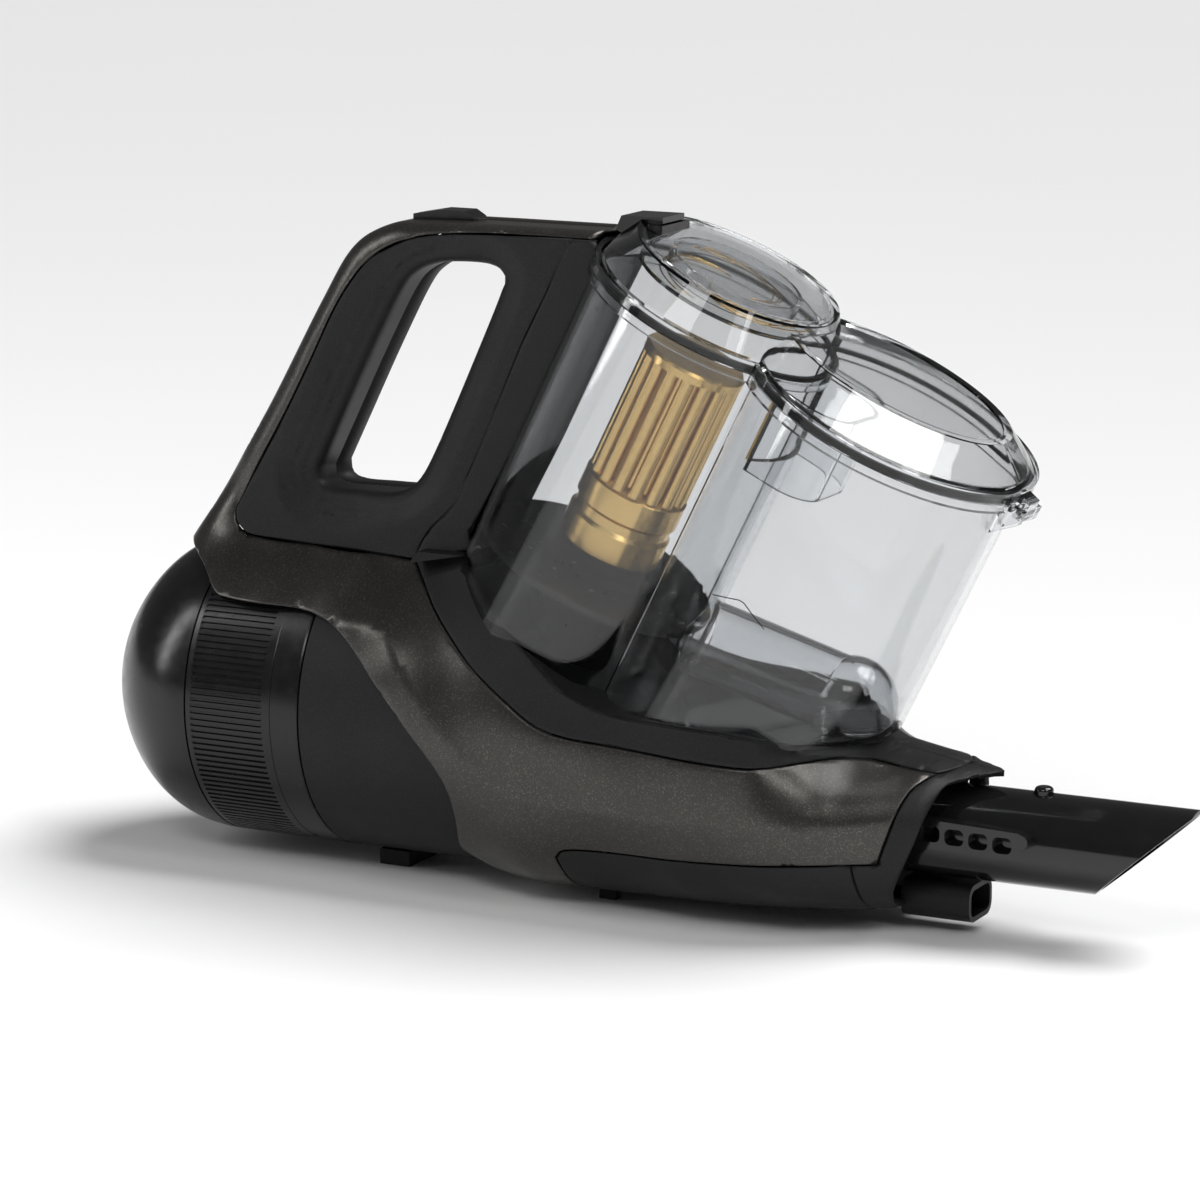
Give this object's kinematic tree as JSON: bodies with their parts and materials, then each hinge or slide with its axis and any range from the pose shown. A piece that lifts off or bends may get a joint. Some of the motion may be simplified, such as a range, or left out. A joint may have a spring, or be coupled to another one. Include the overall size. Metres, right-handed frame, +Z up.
{
  "type": "handheld vacuum",
  "caption": "Cordless handheld vacuum with a D handle, round motor housing, clear leaning dust bucket with a gold vortex finder, and a slanted nozzle tube.",
  "frame": {"origin": "centre of the bounding box in plan, on the surface the machine stands on", "axes": "+X forward to the nozzle, +Z up, +Y to the machine's left"},
  "size_m": [0.442, 0.1246, 0.2568],
  "materials": {
    "graphite_shell": "satin",
    "dark_grained_plastic": "matte",
    "gloss_black_plastic": "gloss",
    "clear_plastic": "gloss",
    "gold_metal": "satin",
    "rubber": "matte",
    "filter_media": "matte",
    "inner_plastic": "matte",
    "steel": "satin",
    "copper": "satin",
    "brass_pins": "satin",
    "nickel": "satin",
    "battery_wrap": "gloss",
    "circuit_board": "satin"
  },
  "bodies": {
    "main_body": {"base_pan": "dark_grained_plastic", "battery_cells": "battery_wrap", "battery_holder": "inner_plastic", "bucket_cradle": "dark_grained_plastic", "cell_strips": "nickel", "connector_housing": "dark_grained_plastic", "connector_pins": "brass_pins", "control_board": "circuit_board", "diffuser": "inner_plastic", "fan_shroud": "inner_plastic", "front_bearing_bridge": "steel", "front_bezel": "dark_grained_plastic", "front_feet": "rubber", "front_motor_mount": "rubber", "handle_screws": "steel", "inlet_elbow": "inner_plastic", "inlet_seal": "rubber", "inlet_tube": "gloss_black_plastic", "intake_duct": "inner_plastic", "left_column_cover": "dark_grained_plastic", "left_graphite_shell": "graphite_shell", "left_handle_panel": "dark_grained_plastic", "left_window_frame": "gloss_black_plastic", "motor_bearings": "steel", "motor_can": "steel", "motor_filter_foam": "filter_media", "motor_housing": "dark_grained_plastic", "nozzle_tip": "gloss_black_plastic", "outlet_seal": "rubber", "power_button_spring": "steel", "power_switch": "inner_plastic", "rear_foot_pad": "rubber", "right_column_cover": "dark_grained_plastic", "right_graphite_shell": "graphite_shell", "right_handle_panel": "dark_grained_plastic", "right_window_frame": "gloss_black_plastic", "stator_core": "steel", "stator_windings": "copper", "tube_catch_spring": "steel", "tube_socket": "dark_grained_plastic"},
    "rotor": {"rotor_shaft": "steel", "rotor_magnet": "steel", "impeller": "inner_plastic"},
    "power_key": {"power_button": "gloss_black_plastic"},
    "catch": {"tube_catch": "gloss_black_plastic"},
    "dust_bucket": {"bucket": "clear_plastic", "vortex_finder": "gold_metal", "outlet_duct": "gloss_black_plastic", "dust_chute": "clear_plastic", "inlet_duct": "clear_plastic", "lid_hinge_pin": "steel"},
    "bucket_lid": {"lid": "clear_plastic", "lid_gasket": "rubber", "swirl_disc": "clear_plastic", "latch_housing": "dark_grained_plastic"},
    "release_key": {"release_button": "gloss_black_plastic"},
    "flap": {"inlet_flap": "inner_plastic"},
    "rear_cover": {"rear_dome": "gloss_black_plastic", "vent_collar": "gloss_black_plastic", "exhaust_filter": "filter_media"}
  },
  "joints": [
    {"name": "rotor_spin", "type": "hinge", "parent": "main_body", "child": "rotor", "pos_m": [-0.11, 0, 0.0643], "axis": [1, 0, 0], "continuous": true},
    {"name": "power_button_press", "type": "slide", "parent": "main_body", "child": "power_key", "axis": [0, 0, -1], "range_m": [0, 0.0016], "stiffness_N_per_m": 400, "springref_m": -0.002, "deforming": ["power_button_spring"]},
    {"name": "tube_catch_press", "type": "slide", "parent": "main_body", "child": "catch", "axis": [0, 0, -1], "range_m": [0, 0.003], "stiffness_N_per_m": 400, "springref_m": -0.002, "deforming": ["tube_catch_spring"]},
    {"name": "bucket_lift", "type": "slide", "parent": "main_body", "child": "dust_bucket", "axis": [0.4462, 0, 0.8949], "range_m": [0, 0.12]},
    {"name": "lid_open", "type": "hinge", "parent": "dust_bucket", "child": "bucket_lid", "pos_m": [0.1522, 0, 0.1576], "axis": [0, 1, 0], "range_deg": [0, 75]},
    {"name": "release_button_press", "type": "slide", "parent": "bucket_lid", "child": "release_key", "axis": [-0.4462, 0, -0.8949], "range_m": [0, 0.002], "stiffness_N_per_m": 400, "springref_m": -0.002},
    {"name": "inlet_flap_swing", "type": "hinge", "parent": "dust_bucket", "child": "flap", "pos_m": [0.0728, 0, 0.0746], "axis": [0, -1, 0], "range_deg": [0, 35]},
    {"name": "rear_cover_pull", "type": "slide", "parent": "main_body", "child": "rear_cover", "axis": [-1, 0, 0], "range_m": [0, 0.05]}
  ]
}
